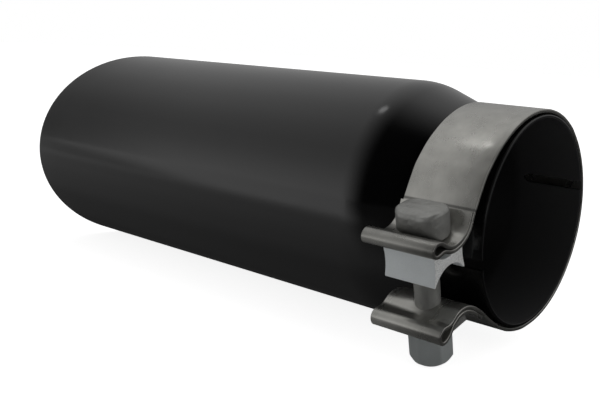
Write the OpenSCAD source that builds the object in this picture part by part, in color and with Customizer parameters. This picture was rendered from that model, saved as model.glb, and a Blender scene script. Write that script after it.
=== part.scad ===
// Clamp-on exhaust tip, 127 mm body on a 101.6 mm inlet neck, with a slanted rolled outlet
// and one loose flat-band clamp. Millimetres. X runs along the tube, the inlet mouth is at x = 0
// and the outlet lies toward -X. +Z is up, and the floor it lies on is at z = -body_radius.

/* [Shell] */
// Outer radius of the large body tube
body_radius = 63.5; // [55:0.5:75]
// Inner radius of the neck, a sliding fit over a 101.6 mm pipe
neck_bore_radius = 50.9; // [45:0.1:58]
// Sheet thickness of the shell
wall = 1.5; // [1:0.1:3]
// Distance from the mouth to where the shoulder reaches the body radius
shoulder_end = 73; // [60:1:90]
// Slope of the shoulder between its two bends, degrees
shoulder_slope = 20.5; // [15:0.5:30]
// Outer bend radius of the shoulder where it meets the body
shoulder_crest_radius = 40; // [20:1:60]
// Outer bend radius of the shoulder where it meets the neck
shoulder_root_radius = 15; // [5:1:25]
// Distance on the axis from the mouth to the middle of the outlet roll
outlet_distance = 303; // [200:1:400]
// Slant of the outlet, degrees from a square cut
outlet_slant = 27; // [0:1:40]
// Direction of the outlet's longest side, degrees about X as it was photographed
outlet_long_side = 182.5; // [0:0.5:360]
// Radius of the rolled outlet edge
lip_radius = 4; // [2:0.25:6]
// How far the outlet edge is rolled round, degrees
lip_turn = 255; // [180:5:300]
// Width of the two relief slots in the neck
slot_width = 5; // [2:0.5:6]
// Length of the two relief slots in the neck
slot_length = 32; // [20:1:40]
// Direction of the relief slots, degrees about X as photographed
slot_direction = 10.5; // [0:0.5:90]

/* [Clamp] */
// Turn of everything about X that sets the nut on the floor, degrees
rest_turn = 5.04; // [0:0.01:10]
// Direction of the clamp's ears, degrees about X as photographed
ear_direction = 190; // [180:1:200]
// Smallest inner radius of the band, at its top and bottom
band_bore_radius = 53.3; // [52.5:0.1:56]
// Thickness of the band strip
band_thickness = 1.8; // [1:0.1:2.2]
// Width of the band
band_width = 37.2; // [30:0.1:45]
// Gap between the folded layers of the band
layer_gap = 0.2; // [0.1:0.05:0.5]
// Distance of the bolt from the tube axis
bolt_distance = 69; // [68:0.25:70]
// Distance of the bolt from the inlet mouth
bolt_from_mouth = 18.5; // [16:0.5:22]
// Diameter of the bolt
bolt_diameter = 12; // [10:0.5:14]
// Diameter of the bolt holes through the ears
ear_hole_diameter = 13.6; // [12:0.1:16]
// Width of the bolt head
head_width = 17; // [14:0.5:18]
// Length of the bolt head along the tube
head_length = 23; // [20:0.5:30]
// Length of the saddle bar along the tube
saddle_length = 28; // [20:1:36]
// Width of the reaction block, away from the tube
block_width = 24.5; // [20:0.5:26]
// Height of the reaction block
block_height = 16.2; // [12:0.1:18]
// Length of the reaction block along the tube
block_length = 26.2; // [20:0.1:32]
// Width of the nut across its flats
nut_flats = 18; // [16:0.5:22]
// Height of the nut
nut_height = 19.55; // [10:0.05:24]

/* [Hidden] */
$fn = 96;
contact = 0.02;
half = band_thickness / 2;
neck_radius = neck_bore_radius + wall;
// shoulder: its bends and the straight flank between them
crest_drop = shoulder_crest_radius * (1 - cos(shoulder_slope));
root_drop = shoulder_root_radius * (1 - cos(shoulder_slope));
flank_drop = body_radius - neck_radius - crest_drop - root_drop;
crest_run = shoulder_crest_radius * sin(shoulder_slope);
root_run = shoulder_root_radius * sin(shoulder_slope);
flank_run = flank_drop / tan(shoulder_slope);
shoulder_start = shoulder_end - crest_run - flank_run - root_run;
// the band's far edge stops against the shoulder flank
band_far = shoulder_start + root_run
    + (band_bore_radius - contact - neck_radius - root_drop) / tan(shoulder_slope);
band_near = band_far - band_width;
long_side = outlet_long_side + rest_turn;
// The clamp is drawn in its own plane: first away from the tube, then up along the bolt. Its band
// is one strip, given by the middle of its thickness: upper ear, ring and lower ear.
upper_ear = [[54.2, 26], [56.4, 22.3], [58.3, 19.8], [60.4, 18], [62.6, 16.8], [65, 15.95],
    [67.5, 15.5], [70, 15.35], [72.4, 15.6], [74.6, 16.2], [76.4, 17.05]];
upper_loop = [[78.2, 17.9], [80, 18.2], [82, 18.05], [84, 17.95], [86, 18.6], [87.2, 20],
    [87.2, 21.7], [86.1, 23], [84.4, 23.6], [82.5, 23.4], [80.6, 22.6], [78.7, 21.2], [77.1, 19.9]];
lower_ear = [[50.2, -26.2], [53.9, -22.6], [57.8, -19.3], [61.8, -16.9], [65.2, -15.8],
    [68.4, -15.5], [71.4, -15.9], [73.9, -16.8], [76, -17.75]];
lower_loop = [[78.2, -18.15], [80.4, -17.9], [82.6, -17.75], [84.6, -18.4], [85.8, -19.8],
    [86, -21.6], [85.2, -23.2], [83.7, -24.1], [81.9, -24.2], [79.9, -23.5], [78, -22.4],
    [76.3, -21]];
// extra inner radius of the loose ring at directions from the ears, degrees
ring_ease = [[40.7, 4.1], [48, 3.2], [55, 2.5], [62, 1.7], [70, 1.1], [78, 0.6], [86, 0.3],
    [95, 0.1], [105, 0], [115, 0.05], [125, 0.3], [135, 0.65], [145, 1.1], [160, 1.8], [175, 2.6],
    [190, 3.2], [205, 3.4], [220, 3], [235, 2.4], [250, 1.7], [265, 0.9], [280, 0.25], [290, 0.05],
    [300, 0], [308, 0], [317, 0.4], [325, 1.15]];
ring = [for (e = ring_ease) (band_bore_radius + half + e[1]) * [cos(e[0]), sin(e[0])]];
pitch = band_thickness + layer_gap;
upper_valley = upper_ear[7][1] + pitch + half;
lower_hump = lower_ear[5][1] - pitch - half;
head_centre = upper_valley + contact + head_width / 2;
head_top = 32;
saddle_radius = 9.5;
saddle_height = 7.25;
saddle_mid = 68.15;
saddle_flat = lower_hump - contact - saddle_height;
nut_top = saddle_flat - contact;
nut_end = nut_top - nut_height;
nut_corner = nut_flats / 2 / cos(30);
nut_face = 7.2;

function arc(c, r, a0, a1, n) =
    [for (i = [0:n]) c + r * [cos(a0 + (a1 - a0) * i / n), sin(a0 + (a1 - a0) * i / n)]];
// a smooth run of points through given points, n steps between each two
function between(a, b, c, d, t) = 0.5 * (2 * b + t * (c - a) + t * t * (2 * a - 5 * b + 4 * c - d)
    + t * t * t * (3 * b - a - 3 * c + d));
function smooth(p, n) = concat([for (i = [0:len(p) - 2]) for (k = [0:n - 1])
    between(p[max(i - 1, 0)], p[i], p[i + 1], p[min(i + 2, len(p) - 1)], k / n)], [p[len(p) - 1]]);
// the same points moved sideways by d, to the left of the way they run
function heading(p, i) = p[min(i + 1, len(p) - 1)] - p[max(i - 1, 0)];
function beside(p, d) = [for (i = [0:len(p) - 1])
    let (h = heading(p, i)) p[i] + d * [-h[1], h[0]] / norm(h)];

block_land = 0.8;
block_top = 16.7;

// outline of the shell wall: radius and distance from the mouth, offset inward by t
function wall_side(t) = concat(
    [[neck_radius - t, 0]],
    arc([neck_radius + shoulder_root_radius, shoulder_start],
        shoulder_root_radius + t, 180, 180 - shoulder_slope, 6),
    arc([body_radius - shoulder_crest_radius, shoulder_end],
        shoulder_crest_radius - t, -shoulder_slope, 0, 8),
    [[body_radius - t, outlet_distance + 60]]);
function reversed(v) = [for (i = [len(v) - 1:-1:0]) v[i]];

// places the clamp's own plane in the part: outward toward -Y, up to +Z, depth toward -X
module clamp_frame() {
    rotate([ear_direction + rest_turn - 180, 0, 0])
        rotate([90, 0, -90])
            children();
}

module along_bolt(from, to) {
    translate([bolt_distance, from, bolt_from_mouth])
        rotate([-90, 0, 0])
            linear_extrude(height = to - from)
                children();
}

module half_disc(r) {
    intersection() {
        circle(r = r);
        translate([-r - 1, -r - 1])
            square([2 * r + 2, r + 1]);
    }
}

module rounded_plate(length, width, r) {
    x = width / 2 - r;
    y = length / 2 - r;
    polygon(concat(arc([x, y], r, 0, 90, 8), arc([-x, y], r, 90, 180, 8),
        arc([-x, -y], r, 180, 270, 8), arc([x, -y], r, 270, 360, 8)));
}

// the strip's path: doubled upper ear with its loop, ring, doubled lower ear with its loop
function strip_path() = smooth(concat(beside(upper_ear, pitch), reversed(upper_loop),
    reversed(upper_ear), ring, lower_ear, lower_loop, reversed(beside(lower_ear, -pitch))), 4);

module shell_wall() {
    difference() {
        rotate([0, -90, 0])
            rotate_extrude()
                polygon(concat(wall_side(0), reversed(wall_side(wall))));
        translate([-outlet_distance, 0, 0])
            rotate([long_side, 0, 0])
                rotate([0, 0, outlet_slant])
                    translate([-300, -200, -200])
                        cube([300, 400, 400]);
        for (turn = [0, 180])
            rotate([slot_direction + rest_turn + turn, 0, 0])
                relief_slot();
    }
}

// a slot cutter that runs back from the mouth and out along +Y
module relief_slot() {
    foot = -slot_length + slot_width / 2;
    rotate([-90, -90, 0])
        translate([0, 0, neck_bore_radius - 6])
            linear_extrude(height = 12)
                polygon(concat(
                    [[-slot_width / 2, 2], [-slot_width / 2, foot]],
                    arc([0, foot], slot_width / 2, 180, 360, 12),
                    [[slot_width / 2, foot], [slot_width / 2, 2]]));
}

// the roll follows the slant: each turned half is sheared along X on its own
module outlet_lip() {
    lean = -tan(outlet_slant);
    for (turn = [0, 180])
        multmatrix([
            [1, lean * cos(long_side), lean * sin(long_side), -outlet_distance],
            [0, 1, 0, 0],
            [0, 0, 1, 0]])
            rotate([turn, 0, 0])
                rotate([0, -90, 0])
                    rotate_extrude(angle = 180)
                        lip_section();
}

module lip_section() {
    translate([body_radius - 0.02 - lip_radius, 0])
        difference() {
            circle(r = lip_radius, $fn = 48);
            circle(r = lip_radius - wall, $fn = 48);
            polygon([[0, 0], 3 * lip_radius * [cos(lip_turn), sin(lip_turn)],
                [3 * lip_radius, -3 * lip_radius], [3 * lip_radius, 0]]);
        }
    translate([body_radius - wall + 0.02, -0.5])
        square([wall - 0.06, 0.7]);
}

module tip_shell() {
    color([0.06, 0.06, 0.065]) {
        shell_wall();
        outlet_lip();
    }
}

module clamp_band() {
    path = strip_path();
    color([0.62, 0.62, 0.61])
        clamp_frame()
            difference() {
                translate([0, 0, band_near])
                    linear_extrude(height = band_width)
                        polygon(concat(beside(path, half), reversed(beside(path, -half))));
                along_bolt(8, 28)
                    circle(d = ear_hole_diameter);
                along_bolt(-28, -8)
                    circle(d = ear_hole_diameter);
            }
}

module reaction_block() {
    top_chord = block_width - 2 * block_land;
    side_chord = block_height - 2 * block_land;
    top_sag = 6;
    side_sag = 1.15;
    top_radius = top_chord * top_chord / 8 / top_sag + top_sag / 2;
    side_radius = side_chord * side_chord / 8 / side_sag + side_sag / 2;
    mid_u = bolt_distance + 0.2;
    mid_w = block_top - block_height / 2;
    color([0.72, 0.74, 0.76])
        clamp_frame()
            difference() {
                translate([mid_u, mid_w, bolt_from_mouth - block_length / 2 + 0.5])
                    linear_extrude(height = block_length)
                        difference() {
                            square([block_width, block_height], center = true);
                            for (side = [-1, 1]) {
                                translate([0, side * (block_height / 2 + top_radius - top_sag)])
                                    circle(r = top_radius);
                                translate([side * (block_width / 2 + side_radius - side_sag), 0])
                                    circle(r = side_radius);
                            }
                        }
                along_bolt(-5, 25)
                    circle(d = bolt_diameter + 0.6);
            }
}

module t_bolt() {
    color([0.66, 0.66, 0.65])
        clamp_frame() {
            intersection() {
                translate([bolt_distance, head_centre, bolt_from_mouth - head_length / 2 - 1])
                    linear_extrude(height = head_length + 2) {
                        half_disc(head_width / 2);
                        translate([-head_width / 2, 0])
                            square([head_width, head_top - head_centre]);
                    }
                along_bolt(10, 40)
                    rounded_plate(head_length, head_width + 1, 6.5);
            }
            along_bolt(nut_end + 2, head_centre)
                circle(d = bolt_diameter);
        }
}

module saddle_bar() {
    color([0.66, 0.66, 0.65])
        clamp_frame()
            difference() {
                translate([saddle_mid, saddle_flat, bolt_from_mouth - saddle_length / 2])
                    linear_extrude(height = saddle_length)
                        intersection() {
                            translate([0, saddle_height - saddle_radius])
                                circle(r = saddle_radius);
                            translate([-15, 0])
                                square([30, 15]);
                        }
                along_bolt(saddle_flat - 5, saddle_flat + 15)
                    circle(d = bolt_diameter + 0.8);
            }
}

module hex_nut() {
    face_slope = (nut_corner - nut_face) * tan(40);
    color([0.6, 0.62, 0.64])
        clamp_frame()
            difference() {
                intersection() {
                    along_bolt(nut_end, nut_top)
                        circle(r = nut_corner, $fn = 6);
                    translate([bolt_distance, nut_end, bolt_from_mouth])
                        rotate([-90, 0, 0])
                            rotate_extrude()
                                polygon([[0, 0], [nut_face, 0],
                                    [nut_corner + 0.6, face_slope + 0.6 * tan(40)],
                                    [nut_corner + 0.6, nut_height - 0.6],
                                    [nut_corner - 0.9, nut_height], [0, nut_height]]);
                }
                along_bolt(nut_end - 1, nut_top + 1)
                    circle(d = bolt_diameter + 0.04);
                translate([bolt_distance, nut_end - 0.01, bolt_from_mouth])
                    rotate([-90, 0, 0])
                        cylinder(r1 = bolt_diameter / 2 + 0.8, r2 = bolt_diameter / 2, h = 0.8);
            }
}

tip_shell();
clamp_band();
reaction_block();
t_bolt();
saddle_bar();
hex_nut();
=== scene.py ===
import math
import bpy
from mathutils import Matrix, Vector


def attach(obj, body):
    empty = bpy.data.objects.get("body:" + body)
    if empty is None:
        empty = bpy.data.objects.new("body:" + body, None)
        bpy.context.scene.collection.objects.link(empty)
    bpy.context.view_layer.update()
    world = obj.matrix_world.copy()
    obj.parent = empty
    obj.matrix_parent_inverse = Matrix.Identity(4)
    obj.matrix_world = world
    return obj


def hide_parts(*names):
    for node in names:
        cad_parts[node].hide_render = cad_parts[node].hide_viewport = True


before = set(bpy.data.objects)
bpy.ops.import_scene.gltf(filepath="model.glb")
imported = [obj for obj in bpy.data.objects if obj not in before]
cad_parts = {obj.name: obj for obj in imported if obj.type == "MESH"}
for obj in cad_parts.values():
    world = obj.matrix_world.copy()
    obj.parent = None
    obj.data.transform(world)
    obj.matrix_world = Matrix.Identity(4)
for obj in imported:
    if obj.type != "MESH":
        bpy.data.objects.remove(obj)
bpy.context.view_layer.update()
scene = bpy.context.scene


# Camera. It stands a little above the part and to the right of the inlet mouth, with the tube
# running away to the left. The rows hold its right, up and back axes and its place in metres.
camera_data = bpy.data.cameras.new("camera")
camera_data.lens = 50.116
camera_data.sensor_width = 36.0
camera_data.sensor_fit = "HORIZONTAL"
camera_data.clip_start = 0.01
camera = bpy.data.objects.new("camera", camera_data)
camera.matrix_world = Matrix((
    (0.7512, -0.1726, 0.6371, 0.1722),
    (0.6575, 0.1109, -0.7452, -0.37874),
    (0.0580, 0.9787, 0.1968, 0.07943),
    (0.0, 0.0, 0.0, 1.0)))
scene.collection.objects.link(camera)
scene.camera = camera


# Studio. A pale floor under the tube, in a white room with bright walls to the left and behind,
# a soft lamp overhead, and a dark opening to the right of the camera.
def node_maker(tree):
    def add(kind, inputs=None, **settings):
        made = tree.nodes.new(kind)
        for key, value in settings.items():
            setattr(made, key, value)
        for key, value in (inputs or {}).items():
            if isinstance(value, bpy.types.NodeSocket):
                tree.links.new(value, made.inputs[key])
            else:
                made.inputs[key].default_value = value
        return made
    return add


def sums(add, operation, first, second=0.0, third=0.0):
    return add("ShaderNodeMath", {0: first, 1: second, 2: third}, operation=operation).outputs[0]


def ramp_between(add, value, low, high, start=0.0, end=1.0):
    made = add("ShaderNodeMapRange", {"Value": value, "From Min": low, "From Max": high,
               "To Min": start, "To Max": end}, interpolation_type="SMOOTHSTEP")
    return made.outputs["Result"]


def stepped(add, value, low, high, stops):
    reach = add("ShaderNodeMapRange", {"Value": value, "From Min": low, "From Max": high})
    made = add("ShaderNodeValToRGB", {"Fac": reach.outputs["Result"]})
    ramp = made.color_ramp
    while len(ramp.elements) < len(stops):
        ramp.elements.new(1.0)
    for element, (place, level) in zip(ramp.elements, stops):
        element.position = (place - low) / (high - low)
        element.color = (level, level, level, 1)
    return made.outputs["Color"]


room = bpy.data.worlds.new("room")
room.use_nodes = True
scene.world = room
room.node_tree.nodes.clear()
add = node_maker(room.node_tree)
direction = add("ShaderNodeTexCoord").outputs["Generated"]
way = add("ShaderNodeSeparateXYZ", {0: direction})

# Angles in degrees: side runs from left to right, over from the front horizon to the back one
degrees_each = 180 / math.pi
side = sums(add, "MULTIPLY", sums(add, "ARCSINE", way.outputs["X"]), degrees_each)
frontward = sums(add, "MULTIPLY", way.outputs["Y"], -1.0)
over = sums(add, "MULTIPLY", sums(add, "ARCTAN2", way.outputs["Z"], frontward), degrees_each)

# The walls' brightness at each angle over, dimmed at the far left and above it
wall_steps = [(-40, 1.1), (0, 1.1), (15, 0.93), (30, 0.72), (45, 0.63), (60, 0.66),
              (80, 0.74), (110, 0.72), (140, 0.55), (170, 0.35)]
wall_light = stepped(add, over, -40.0, 180.0, wall_steps)
left_fall = ramp_between(add, side, -58.0, -44.0, 0.38, 1.0)
left_low = ramp_between(add, over, 12.0, 44.0, 1.0, 0.8)
left_shade = sums(add, "MULTIPLY", left_low, sums(add, "SUBTRACT", 1.0, left_fall))
wall_light = sums(add, "MULTIPLY", wall_light, ramp_between(add, left_shade, 0.0, 1.0, 1.0, 0.0))

# The dark opening, which ends a little behind the point overhead
opening = sums(add, "MULTIPLY", ramp_between(add, side, -38.0, 2.0),
               ramp_between(add, side, 40.0, 60.0, 1.0, 0.0))
opening = sums(add, "MULTIPLY", opening, ramp_between(add, over, 70.0, 124.0, 1.0, 0.0))
shade = sums(add, "MULTIPLY", wall_light, sums(add, "MULTIPLY_ADD", opening, -0.99, 1.0))

lamp_way = (-0.4063, 0.0192, 0.9135)
lamp_strength = 2.3
toward_lamp = add("ShaderNodeVectorMath", {0: direction, 1: lamp_way}, operation="DOT_PRODUCT")
lamp = ramp_between(add, toward_lamp.outputs["Value"], 0.9962, 0.9988, 0.0, lamp_strength)
shade = sums(add, "ADD", shade, lamp)
path = add("ShaderNodeLightPath")
strength = add("ShaderNodeMix", {"Factor": path.outputs["Is Camera Ray"], "A": shade, "B": 1.0})
back = add("ShaderNodeBackground", {"Color": (1, 1, 1, 1), "Strength": strength.outputs[0]})
add("ShaderNodeOutputWorld", {"Surface": back.outputs[0]})

floor_half = 6
floor_level = -0.0635
floor_mesh = bpy.data.meshes.new("floor")
floor_corners = [(x * floor_half, y * floor_half, floor_level)
                 for x, y in ((-1, -1), (1, -1), (1, 1), (-1, 1))]
floor_mesh.from_pydata(floor_corners, [], [(0, 1, 2, 3)])
floor = bpy.data.objects.new("floor", floor_mesh)
scene.collection.objects.link(floor)
floor_paint = bpy.data.materials.new("floor_paint")
floor_paint.use_nodes = True
floor_paint.node_tree.nodes.clear()
add = node_maker(floor_paint.node_tree)
path = add("ShaderNodeLightPath")
spot = add("ShaderNodeSeparateXYZ", {0: add("ShaderNodeTexCoord").outputs["Object"]})
camera_glow = 0.88
pale = add("ShaderNodeBsdfDiffuse", {"Color": (0.8, 0.8, 0.8, 1)})
glow_strength = sums(add, "MULTIPLY", path.outputs["Is Camera Ray"], camera_glow)
glow = add("ShaderNodeEmission", {"Strength": glow_strength})
seen_floor = add("ShaderNodeAddShader", {0: pale.outputs[0], 1: glow.outputs[0]})

# What the coat and the steel mirror of the floor: painted shadow close to the tube, white 0.3 m away
across = sums(add, "ABSOLUTE", spot.outputs["Y"])
reach = sums(add, "ADD", across, sums(add, "MAXIMUM", spot.outputs["X"], 0.0))
floor_steps = [(0, 0.0), (0.03, 0.04), (0.062, 0.14), (0.08, 0.23), (0.113, 0.32), (0.14, 0.38),
               (0.17, 0.4), (0.195, 0.44), (0.227, 0.62), (0.262, 0.9), (0.3, 1.0)]
floor_light = stepped(add, reach, 0.0, 0.4, floor_steps)

# Painted shade darkens it toward the opening on the right and dims it at the far left
slanted = sums(add, "MULTIPLY_ADD", across, 0.5, spot.outputs["X"])
doorway = ramp_between(add, slanted, -0.06, 0.07, 1.0, 0.06)
rightward = sums(add, "DIVIDE", spot.outputs["X"], sums(add, "MAXIMUM", across, 0.001))
leftward = sums(add, "MULTIPLY", rightward, -1.0)
doorway = sums(add, "MAXIMUM", doorway, ramp_between(add, leftward, 0.05, 0.78, 0.06, 1.0))
floor_light = sums(add, "MULTIPLY", floor_light, doorway)
far_left = sums(add, "MULTIPLY", ramp_between(add, leftward, 1.25, 1.95),
                ramp_between(add, across, 0.195, 0.29))
floor_light = sums(add, "MULTIPLY", floor_light, sums(add, "MULTIPLY_ADD", far_left, -0.56, 1.0))
mirrored = add("ShaderNodeEmission", {"Strength": floor_light})
both = add("ShaderNodeMixShader", {0: path.outputs["Is Glossy Ray"], 1: seen_floor.outputs[0],
           2: mirrored.outputs[0]})
add("ShaderNodeOutputMaterial", {"Surface": both.outputs[0]})
floor_mesh.materials.append(floor_paint)


# Shell. One steel sheet tube, drawn down to the neck, slit twice at the mouth and rolled over at
# the slanted outlet, then sprayed inside and out with a black coat that levels to orange peel.
# Sizes are in millimetres and degrees, and depth is measured from the mouth along the tube.
def coat_of(name, colour, roughness, gloss, peel_depth):
    made = bpy.data.materials.new(name)
    made.use_nodes = True
    made.node_tree.nodes.clear()
    add = node_maker(made.node_tree)
    spot = add("ShaderNodeTexCoord").outputs["Object"]
    peel = add("ShaderNodeTexNoise", {"Vector": spot, "Scale": 650.0, "Detail": 3.0})
    wave = add("ShaderNodeTexNoise", {"Vector": spot, "Scale": 28.0, "Detail": 2.0})
    dust = add("ShaderNodeTexNoise", {"Vector": spot, "Scale": 1500.0, "Detail": 1.0})
    specks = ramp_between(add, dust.outputs["Fac"], 0.70, 0.78, 0.0, 0.012)
    tint = add("ShaderNodeMix", {"Factor": specks, "A": (*colour, 1), "B": (0.5, 0.5, 0.5, 1)},
               data_type="RGBA")
    dull = ramp_between(add, wave.outputs["Fac"], 0.3, 0.7, roughness - 0.02, roughness + 0.03)
    bump = add("ShaderNodeBump", {"Height": peel.outputs["Fac"], "Strength": peel_depth,
               "Distance": 0.0003})
    shader = add("ShaderNodeBsdfPrincipled", {"Base Color": tint.outputs[2], "Roughness": dull,
                 "Specular IOR Level": gloss, "Normal": bump.outputs["Normal"]})
    add("ShaderNodeOutputMaterial", {"Surface": shader.outputs[0]})
    return made


def piece_from(name, points, faces, materials, sharp=50):
    mesh = bpy.data.meshes.new(name)
    mesh.from_pydata(points, [], faces)
    for material in materials:
        mesh.materials.append(material)
    mesh.polygons.foreach_set("use_smooth", [True] * len(mesh.polygons))
    mesh.set_sharp_from_angle(angle=math.radians(sharp))
    made = bpy.data.objects.new(name, mesh)
    scene.collection.objects.link(made)
    return made


def arc_points(centre, radius, start, end, steps):
    angles = [math.radians(start + (end - start) * k / steps) for k in range(steps + 1)]
    return [(centre[0] + radius * math.cos(a), centre[1] + radius * math.sin(a)) for a in angles]


body_radius = 63.5
neck_radius = 52.4
wall = 1.5
rest_turn = 5.04
slope = 20.5
root_radius = 15
crest_radius = 40
shoulder_end = 73.0
crest_run = crest_radius * math.sin(math.radians(slope))
root_run = root_radius * math.sin(math.radians(slope))
bends_drop = (root_radius + crest_radius) * (1 - math.cos(math.radians(slope)))
flank_run = (body_radius - neck_radius - bends_drop) / math.tan(math.radians(slope))
shoulder_start = shoulder_end - crest_run - root_run - flank_run
outlet_distance = 302.99
outlet_lean = math.tan(math.radians(27))
long_side = math.radians(182.5 + rest_turn)
lip_radius = 4
lip_sweep = 255
neck_ring = 30.5


def necked_side(inset):
    root = arc_points((neck_radius + root_radius, shoulder_start), root_radius + inset,
                      180, 180 - slope, 12)
    crest = arc_points((body_radius - crest_radius, shoulder_end), crest_radius - inset,
                       -slope, 0, 20)
    return [("fixed", neck_radius - inset, neck_ring)] + [("fixed", r, d) for r, d in root + crest]


# One row for each ring of points: the outside from neck to lip, then the inside back to the mouth
lip_centre = (body_radius - lip_radius, 0)
bore_radius = neck_radius - wall
body_rows = 12
rows = necked_side(0)
rows += [("body", body_radius, k / body_rows) for k in range(1, body_rows)]
rows += [("lip", r, d) for r, d in arc_points(lip_centre, lip_radius, 0, lip_sweep, 34)]
inside_from = len(rows)
rows += [("lip", r, d) for r, d in arc_points(lip_centre, lip_radius - wall, lip_sweep, 0, 28)]
rows += [("body", body_radius - wall, k / body_rows) for k in range(body_rows - 1, 0, -1)]
rows += list(reversed(necked_side(wall)))
foot = len(rows) - 1
rows += [("fixed", bore_radius, 0.35), ("fixed", bore_radius + 0.1, 0.1)]
inside_to = len(rows)
rows += [("fixed", bore_radius + 0.35, 0.0), ("fixed", neck_radius - 0.35, 0.0)]
rows += [("fixed", neck_radius - 0.1, 0.1), ("fixed", neck_radius, 0.35)]

# The two slots lie opposite each other, four columns of faces wide, with a rounded foot
turns = 256
half = turns // 2
slot_turn = math.radians(10.5 + rest_turn)
slot_foot = {-2: 29.5, -1: 31.65, 0: 32.0, 1: 31.65, 2: 29.5}
slot_columns = [(middle + k) % turns for middle in (0, half) for k in (-2, -1, 0, 1)]


def shell_point(row, column):
    kind, radius, place = rows[row]
    angle = slot_turn + 2 * math.pi * column / turns
    slant = outlet_distance + outlet_lean * radius * math.cos(angle - long_side)
    if row in (0, foot):
        from_slot = (column + half // 2) % half - half // 2
        depth = slot_foot.get(from_slot, neck_ring)
    elif kind == "fixed":
        depth = place
    elif kind == "body":
        depth = shoulder_end + place * (slant - shoulder_end)
    else:
        depth = slant + place
    return (-depth / 1000, radius * math.cos(angle) / 1000, radius * math.sin(angle) / 1000)


count = len(rows)
points = [shell_point(row, column) for column in range(turns) for row in range(count)]
faces = []
inner_faces = []
for column in range(turns):
    here = column * count
    there = (column + 1) % turns * count
    for row in range(count):
        beyond = (row + 1) % count
        if column in slot_columns and row >= foot:
            continue
        faces.append((here + row, there + row, there + beyond, here + beyond))
        inner_faces.append(inside_from <= row < inside_to)
    if column in slot_columns:
        faces.append((here, here + foot, there + foot, there))
        inner_faces.append(False)
for near, far in ((turns - 2, 2), (half - 2, half + 2)):
    around = list(range(foot, count)) + [0]
    faces.append(tuple(near * count + row for row in reversed(around)))
    faces.append(tuple(far * count + row for row in around))
    inner_faces += [False, False]
black_coat = coat_of("black_coat", (0.002, 0.002, 0.0022), roughness=0.13, gloss=0.5, peel_depth=0.05)
# The inside is the black coat made rougher, its colour raised as painted light for the shaded bore
inner_coat_painted_lighter = coat_of("inner_coat_painted_lighter", (0.042, 0.042, 0.043), roughness=0.5, gloss=0.12, peel_depth=0.1)
shell = piece_from("exhaust_shell", points, faces, [black_coat, inner_coat_painted_lighter])
shell.data.polygons.foreach_set("material_index", [int(inner) for inner in inner_faces])
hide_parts("tip_shell")
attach(shell, "root")


# Band. Rolled stainless strip bent round the neck. Each end is shaped over the bolt, turned back
# in a small loop and laid on itself; it is loose here and stands a little out of round.
# The clamp is laid out flat first: u outward to the bolt, w up along it, t into the tube.
def metal_of(name, colour, roughness, lines, mottle, grain, shine, dents, streaks=0.0,
             ear_shade=0.0, rubbed=0.0, seam_shade=0.0):
    made = bpy.data.materials.new(name)
    made.use_nodes = True
    made.node_tree.nodes.clear()
    add = node_maker(made.node_tree)
    spot = add("ShaderNodeTexCoord").outputs["Object"]
    axes = add("ShaderNodeSeparateXYZ", {0: spot})
    turn = sums(add, "ARCTAN2", axes.outputs["Z"], axes.outputs["Y"])

    def round_tube(name, across_scale, turn_scale):
        place = add("ShaderNodeCombineXYZ", {
            0: sums(add, "MULTIPLY", axes.outputs["X"], across_scale),
            1: sums(add, "MULTIPLY", turn, turn_scale)})
        made = add("ShaderNodeTexNoise", {"Vector": place.outputs[0], "Scale": 1.0, "Detail": 3.0})
        made.name = name
        return made.outputs["Fac"]

    def speckled(name, scale, detail):
        made = add("ShaderNodeTexNoise", {"Vector": spot, "Scale": scale, "Detail": detail})
        made.name = name
        return made.outputs["Fac"]

    rolled = round_tube("rolling_lines", 2600.0, 5.0)
    streak = round_tube("streaks", 130.0, 6.0)
    cloud = speckled("mottle", 110.0, 4.0)
    fine = speckled("grain", 1900.0, 2.0)
    dent = speckled("dents", 260.0, 1.5)
    middle = 1.0 - 0.5 * (lines + mottle + grain + streaks)
    level = sums(add, "MULTIPLY_ADD", rolled, lines, middle)
    level = sums(add, "MULTIPLY_ADD", cloud, mottle, level)
    level = sums(add, "MULTIPLY_ADD", fine, grain, level)
    level = sums(add, "MULTIPLY_ADD", streak, streaks, level)

    # Painted shade darkens the ears, the upper one fully and the lower one about a third as much
    ear_shade_mask = sums(add, "MULTIPLY", ramp_between(add, axes.outputs["Y"], -0.078, -0.070, 1.0, 0.0),
                ramp_between(add, axes.outputs["Z"], -0.030, -0.018, 0.35, 1.0))
    level = sums(add, "MULTIPLY", level, sums(add, "MULTIPLY_ADD", ear_shade_mask, -ear_shade, 1.0))

    # Painted shade darkens the ring in the step where the folded-back end of the strip stops on it
    from_seam = sums(add, "ABSOLUTE", sums(add, "SUBTRACT", turn, 2.936))
    step_shade = ramp_between(add, from_seam, 0.004, 0.016, seam_shade, 0.0)
    level = sums(add, "MULTIPLY", level, sums(add, "SUBTRACT", 1.0, step_shade))
    tint = add("ShaderNodeVectorMath", {0: colour, "Scale": level}, operation="SCALE")

    # The streaks change the gloss too, and handling has rubbed the ring's upper edge at the mouth
    dull = sums(add, "MULTIPLY_ADD", streak, 0.18, roughness - 0.09)
    worn_edge = sums(add, "MULTIPLY", ramp_between(add, axes.outputs["X"], -0.012, -0.004),
                     ramp_between(add, axes.outputs["Z"], 0.015, 0.03, 0.0, rubbed))
    dull = sums(add, "SUBTRACT", dull, worn_edge)
    relief = sums(add, "MULTIPLY_ADD", rolled, lines, sums(add, "MULTIPLY", fine, grain))
    worn = add("ShaderNodeBump", {"Height": dent, "Strength": 1.0, "Distance": dents})
    bump = add("ShaderNodeBump", {"Height": relief, "Strength": 0.6, "Distance": 0.00012,
               "Normal": worn.outputs["Normal"]})
    shader = add("ShaderNodeBsdfPrincipled", {"Base Color": tint.outputs[0], "Metallic": shine,
                 "Roughness": dull, "Normal": bump.outputs["Normal"]})
    add("ShaderNodeOutputMaterial", {"Surface": shader.outputs[0]})
    return made


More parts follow.
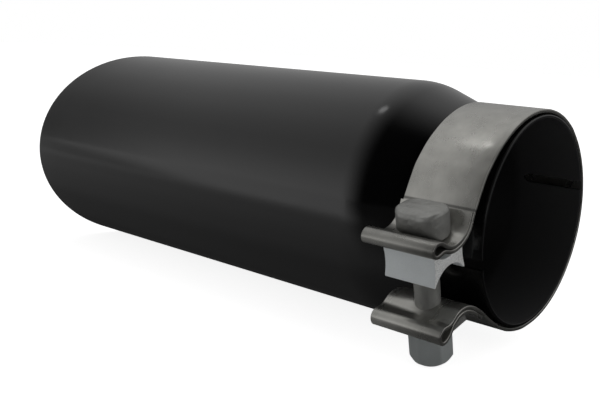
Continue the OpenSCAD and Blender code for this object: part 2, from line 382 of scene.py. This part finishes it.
clamp_turn = math.radians(10 + rest_turn)
clamp_place = Matrix((
    (0, 0, -0.001, 0),
    (-0.001 * math.cos(clamp_turn), -0.001 * math.sin(clamp_turn), 0, 0),
    (-0.001 * math.sin(clamp_turn), 0.001 * math.cos(clamp_turn), 0, 0),
    (0, 0, 0, 1)))
upper_ear = [(54.2, 26), (56.4, 22.3), (58.3, 19.8), (60.4, 18), (62.6, 16.8), (65, 15.95),
             (67.5, 15.5), (70, 15.35), (72.4, 15.6), (74.6, 16.2), (76.4, 17.05)]
upper_loop = [(78.2, 17.9), (80, 18.2), (82, 18.05), (84, 17.95), (86, 18.6), (87.2, 20),
              (87.2, 21.7), (86.1, 23), (84.4, 23.6), (82.5, 23.4), (80.6, 22.6), (78.7, 21.2),
              (77.1, 19.9)]
lower_ear = [(50.2, -26.2), (53.9, -22.6), (57.8, -19.3), (61.8, -16.9), (65.2, -15.8),
             (68.4, -15.5), (71.4, -15.9), (73.9, -16.8), (76, -17.75)]
lower_loop = [(78.2, -18.15), (80.4, -17.9), (82.6, -17.75), (84.6, -18.4), (85.8, -19.8),
              (86, -21.6), (85.2, -23.2), (83.7, -24.1), (81.9, -24.2), (79.9, -23.5),
              (78, -22.4), (76.3, -21)]

# The ring's angle in degrees, and how far it stands off its round bore there
ring_ease = [(40.7, 4.1), (48, 3.2), (55, 2.5), (62, 1.7), (70, 1.1), (78, 0.6), (86, 0.3),
             (95, 0.1), (105, 0), (115, 0.05), (125, 0.3), (135, 0.65), (145, 1.1), (160, 1.8),
             (175, 2.6), (190, 3.2), (205, 3.4), (220, 3), (235, 2.4), (250, 1.7), (265, 0.9),
             (280, 0.25), (290, 0.05), (300, 0), (308, 0), (317, 0.4), (325, 1.15)]
band_bore_radius = 53.3
strip_thickness = 1.8
shown_thickness = 1.77
strip_pitch = 2.0
strip_width = 37.2
strip_middle = 19.83
ring = [arc_points((0, 0), band_bore_radius + strip_thickness / 2 + ease, angle, angle, 1)[0]
        for angle, ease in ring_ease]


def beside(line, distance):
    moved = []
    for k, (u, w) in enumerate(line):
        ahead = Vector(line[min(k + 1, len(line) - 1)]) - Vector(line[max(k - 1, 0)])
        ahead.normalize()
        moved.append((u - distance * ahead.y, w + distance * ahead.x))
    return moved


strip_path = (beside(upper_ear, strip_pitch) + upper_loop[::-1] + upper_ear[::-1] + ring
              + lower_ear + lower_loop + beside(lower_ear, -strip_pitch)[::-1])
tree = bpy.data.node_groups.new("bent_strip", "GeometryNodeTree")
tree.is_modifier = True
sockets = {}
for label, kind in (("Path", "NodeSocketGeometry"), ("Strip width", "NodeSocketFloat"),
                    ("Strip thickness", "NodeSocketFloat"), ("Edge radius", "NodeSocketFloat"),
                    ("Steps", "NodeSocketInt"), ("Steel", "NodeSocketMaterial")):
    made = tree.interface.new_socket(label, in_out="INPUT", socket_type=kind)
    sockets[label] = made.identifier
tree.interface.new_socket("Strip", in_out="OUTPUT", socket_type="NodeSocketGeometry")
add = node_maker(tree)
given = add("NodeGroupInput").outputs
line = add("GeometryNodeMeshToCurve", {0: given["Path"]})
line = add("GeometryNodeCurveSplineType", {"Curve": line.outputs[0]}, spline_type="CATMULL_ROM")
line = add("GeometryNodeSetSplineResolution", {"Geometry": line.outputs[0],
           "Resolution": given["Steps"]})
line = add("GeometryNodeSetCurveNormal", {"Curve": line.outputs[0]}, mode="Z_UP")
section = add("GeometryNodeCurvePrimitiveQuadrilateral", {"Width": given["Strip thickness"],
              "Height": given["Strip width"]})
section = add("GeometryNodeFilletCurve", {"Curve": section.outputs[0],
              "Radius": given["Edge radius"], "Limit Radius": True}, mode="POLY")
section.inputs["Count"].default_value = 3
swept = add("GeometryNodeCurveToMesh", {"Curve": line.outputs[0],
            "Profile Curve": section.outputs[0], "Fill Caps": True})
moved = add("GeometryNodeTransform", {"Geometry": swept.outputs[0],
            "Translation": (0, 0, strip_middle)})
real = add("GeometryNodeRealizeInstances", {"Geometry": moved.outputs[0]})
painted = add("GeometryNodeSetMaterial", {"Geometry": real.outputs[0], "Material": given["Steel"]})
add("NodeGroupOutput", {0: painted.outputs[0]})

band_steel = metal_of("band_steel", (0.41, 0.405, 0.38), roughness=0.29, lines=0.08, mottle=0.25,
                      grain=0.01, shine=0.88, dents=0.00001, streaks=0.55, ear_shade=0.38,
                      rubbed=0.14, seam_shade=0.6)
path_mesh = bpy.data.meshes.new("strip_path")
path_mesh.from_pydata([(u, w, 0) for u, w in strip_path],
                      [(k, k + 1) for k in range(len(strip_path) - 1)], [])
path_piece = bpy.data.objects.new("strip_path", path_mesh)
scene.collection.objects.link(path_piece)
bend = path_piece.modifiers.new("bend", "NODES")
bend.node_group = tree
for label, value in (("Strip width", strip_width), ("Strip thickness", shown_thickness),
                     ("Edge radius", 0.4), ("Steps", 8), ("Steel", band_steel)):
    bend[sockets[label]] = value


def baked(source):
    bpy.context.view_layer.update()
    finished = source.evaluated_get(bpy.context.evaluated_depsgraph_get())
    return bpy.data.meshes.new_from_object(finished)


def round_ends(u, t, sections):
    sides = 64
    ends = []
    for radius, w in sections:
        circle = arc_points((0, 0), radius, 0, 360 - 360 / sides, sides - 1)
        ends += [(u + a, w, t + b) for a, b in circle]
    quads = [(row * sides + k, row * sides + (k + 1) % sides,
              (row + 1) * sides + (k + 1) % sides, (row + 1) * sides + k)
             for row in range(len(sections) - 1) for k in range(sides)]
    last = (len(sections) - 1) * sides
    quads += [tuple(reversed(range(sides))), tuple(range(last, last + sides))]
    return ends, quads


def drilled(piece, u, t, radius, spans):
    cutters = []
    for low, high in spans:
        ends, quads = round_ends(u, t, [(radius, low), (radius, high)])
        cutter = piece_from("cutter", ends, quads, list(piece.data.materials))
        cutters.append(cutter)
        cut = piece.modifiers.new("hole", "BOOLEAN")
        cut.operation = "DIFFERENCE"
        cut.solver = "EXACT"
        cut.object = cutter
    mesh = baked(piece)
    piece.modifiers.clear()
    piece.data = mesh
    for cutter in cutters:
        bpy.data.objects.remove(cutter)


def set_in_clamp(piece, sharp=40):
    piece.data.transform(clamp_place)
    piece.data.polygons.foreach_set("use_smooth", [True] * len(piece.data.polygons))
    piece.data.set_sharp_from_angle(angle=math.radians(sharp))


bolt_u = 69.0
bolt_t = 18.5
band = bpy.data.objects.new("flat_band", baked(path_piece))
bpy.data.objects.remove(path_piece)
scene.collection.objects.link(band)
drilled(band, bolt_u, bolt_t, 6.8, [(8, 28), (-28, -8)])
set_in_clamp(band)
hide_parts("clamp_band")
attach(band, "root")


# Block. Cast zinc, hour-glass in section, sawn off at both ends. It sits on the bolt between the
# ears and keeps them from tipping together.
def extruded(name, outline, low, high, materials, edge, steps):
    size = len(outline)
    points = [(u, w, t) for t in (low, high) for u, w in outline]
    faces = [(k, (k + 1) % size, size + (k + 1) % size, size + k) for k in range(size)]
    faces += [tuple(reversed(range(size))), tuple(range(size, 2 * size))]
    made = piece_from(name, points, faces, materials)
    rounding = made.modifiers.new("edge", "BEVEL")
    rounding.width = edge
    rounding.segments = steps
    rounding.limit_method = "ANGLE"
    rounding.angle_limit = math.radians(35)
    mesh = baked(made)
    made.modifiers.clear()
    made.data = mesh
    return made


block_half_width = 12.25
block_half_height = 8.1
block_top = 16.7
block_low_end = 5.9
block_high_end = 32.1
arch_width = 22.9
arch_depth = 6
side_height = 14.6
side_depth = 1.15
block_u = bolt_u + 0.2
block_w = block_top - block_half_height
arch = arch_width ** 2 / 8 / arch_depth + arch_depth / 2
hollow = side_height ** 2 / 8 / side_depth + side_depth / 2
top_line = [(u, block_half_height - arch_depth + arch - math.sqrt(arch ** 2 - u ** 2))
            for u in [arch_width / 2 * (k / 14 - 1) for k in range(29)]]
side_line = [(block_half_width - side_depth + hollow - math.sqrt(hollow ** 2 - w ** 2), w)
             for w in [side_height / 2 * (1 - k / 8) for k in range(17)]]
half_outline = [(-block_half_width, block_half_height)] + top_line
half_outline += [(block_half_width, block_half_height)] + side_line
outline = half_outline + [(-u, -w) for u, w in half_outline]
outline = [(block_u + u, block_w + w) for u, w in reversed(outline)]
block_zinc = metal_of("block_zinc", (0.82, 0.86, 0.87), roughness=0.5, lines=0.0, mottle=0.12,
                      grain=0.12, shine=0.12, dents=0.0001)
sawn_zinc = metal_of("sawn_zinc", (0.9, 0.91, 0.9), roughness=0.5, lines=0.0, mottle=0.3,
                     grain=1.4, shine=0.2, dents=0.0002)
block = extruded("reaction_block_piece", outline, block_low_end, block_high_end,
                 [block_zinc, sawn_zinc], 0.3, 2)
drilled(block, bolt_u, bolt_t, 6.3, [(-5, 25)])
for face in block.data.polygons:
    face.material_index = int(abs(face.normal.z) > 0.9)
set_in_clamp(block)
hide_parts("reaction_block")
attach(block, "root")


# Bolt. Forged steel with a wide soft-edged head, flat above and round below, so that it lies in
# the bend of the upper ear and can't turn; its shank runs down through the block to the nut.
head_half_width = 8.5
head_half_length = 11.5
head_corner = 6.5
head_middle = 26.77
head_peak = 32.0
edge_inset = 1.5
edge_drop = 1.7
corner = arc_points((head_half_width - head_corner, head_half_length - head_corner), head_corner,
                    0, 90, 10)
plan = corner + [(-a, b) for a, b in reversed(corner)]
plan += [(-a, -b) for a, b in corner] + [(a, -b) for a, b in reversed(corner)]
points = []


def head_ring(inset, level):
    for a, b in plan:
        reach = math.hypot(a, b)
        shrink = max(reach - inset, 0.0) / reach
        points.append((bolt_u + a * shrink, level(a * shrink), bolt_t + b * shrink))


def head_under(lift):
    return lambda a: head_middle - math.sqrt(max(head_half_width ** 2 - a ** 2, 0.0)) + lift


def head_top(a):
    return head_peak - 0.03 * abs(a) - 0.34 * max(a - 4.2, 0.0)


# Rings of points from the middle of the underside, round the soft edge, to the middle of the top
for inset, lift in ((6.5, 0.0), (4.5, 0.0), (3.0, 0.0), (1.5, 0.05), (0.7, 0.3), (0.2, 0.8),
                    (0.0, 1.5)):
    head_ring(inset, head_under(lift))
for turn in range(0, 91, 15):
    sunk = edge_drop * (1 - math.sin(math.radians(turn)))
    head_ring(edge_inset * (1 - math.cos(math.radians(turn))), lambda a: head_top(a) - sunk)
for inset in (2.2, 3.2, 4.3, 5.5, 7.0):
    head_ring(inset, head_top)
size = len(plan)
levels = len(points) // size
last = (levels - 1) * size
faces = [(row * size + k, row * size + (k + 1) % size, (row + 1) * size + (k + 1) % size,
          (row + 1) * size + k) for row in range(levels - 1) for k in range(size)]
faces += [(levels * size, (k + 1) % size, k) for k in range(size)]
faces += [(levels * size + 1, last + k, last + (k + 1) % size) for k in range(size)]
points += [(bolt_u, head_under(0.0)(0.0), bolt_t), (bolt_u, head_peak, bolt_t)]
nut_end = -45.24
shank_radius = 6.0
shank, shank_faces = round_ends(bolt_u, bolt_t, [(shank_radius - 0.8, nut_end + 2),
                                (shank_radius, nut_end + 2.8), (shank_radius, 19.5)])
faces += [tuple(len(points) + k for k in face) for face in shank_faces]
points += shank
bolt_steel = metal_of("bolt_steel", (0.34, 0.34, 0.325), roughness=0.45, lines=0.0, mottle=0.5,
                      grain=0.2, shine=0.5, dents=0.0007)
bolt = piece_from("forged_bolt", points, faces, [bolt_steel])
set_in_clamp(bolt)
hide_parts("t_bolt")
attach(bolt, "root")


# Saddle. A short round-topped steel bar under the lower ear, bored for the bolt, on which the
# nut bears. It is the same steel as the bolt.
saddle_flat = -25.67
saddle_u = 68.15
saddle_half_length = 14
saddle_arc = arc_points((saddle_u, saddle_flat - 2.25), 9.5, 13.7, 166.3, 36)
saddle = extruded("saddle_piece", saddle_arc, bolt_t - saddle_half_length,
                  bolt_t + saddle_half_length, [bolt_steel], 0.8, 4)
drilled(saddle, bolt_u, bolt_t, 6.4, [(saddle_flat - 5, saddle_flat + 15)])
set_in_clamp(saddle)
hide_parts("saddle_bar")
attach(saddle, "root")


# Nut. A tall zinc-plated hexagon nut, threaded up against the saddle and chamfered at its free
# end, which is the point of the clamp that rests on the floor.
nut_top = saddle_flat - 0.02
nut_flat = 9.0
nut_corner = nut_flat / math.cos(math.radians(30))
nut_bore = 6.03
nut_face = 7.2
chamfer = math.tan(math.radians(40))
nut_sides = 96


def hexagon(angle):
    return min(nut_flat / math.cos(math.radians((angle % 60) - 30)), nut_corner - 0.25)


def nut_profile(reach):
    top_fall = max(reach - nut_corner + 1.2, 0) * 0.6 + 0.05
    return [(nut_bore, nut_top), (nut_corner - 1.2, nut_top), (reach, nut_top - top_fall),
            (reach, nut_end + (reach - nut_face) * chamfer),
            (reach - 0.3, nut_end + (reach - nut_face - 0.3) * chamfer - 0.08),
            (nut_face, nut_end), (6.8, nut_end), (nut_bore, nut_end + 0.8)]


nut_rows = 8
points = []
for row in range(nut_rows):
    for k in range(nut_sides):
        angle = 360 / nut_sides * k
        radius, level = nut_profile(hexagon(angle))[row]
        a = math.radians(angle)
        points.append((bolt_u + radius * math.cos(a), level, bolt_t + radius * math.sin(a)))
faces = []
for row in range(nut_rows):
    here = row * nut_sides
    there = (row + 1) % nut_rows * nut_sides
    faces += [(here + k, there + k, there + (k + 1) % nut_sides, here + (k + 1) % nut_sides)
              for k in range(nut_sides)]
nut_zinc = metal_of("nut_zinc", (0.5, 0.53, 0.53), roughness=0.48, lines=0.0, mottle=0.2,
                    grain=0.15, shine=0.3, dents=0.0001)
nut = piece_from("tall_nut", points, faces, [nut_zinc])
set_in_clamp(nut, 25)
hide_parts("hex_nut")
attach(nut, "root")

scene.view_settings.view_transform = "Standard"
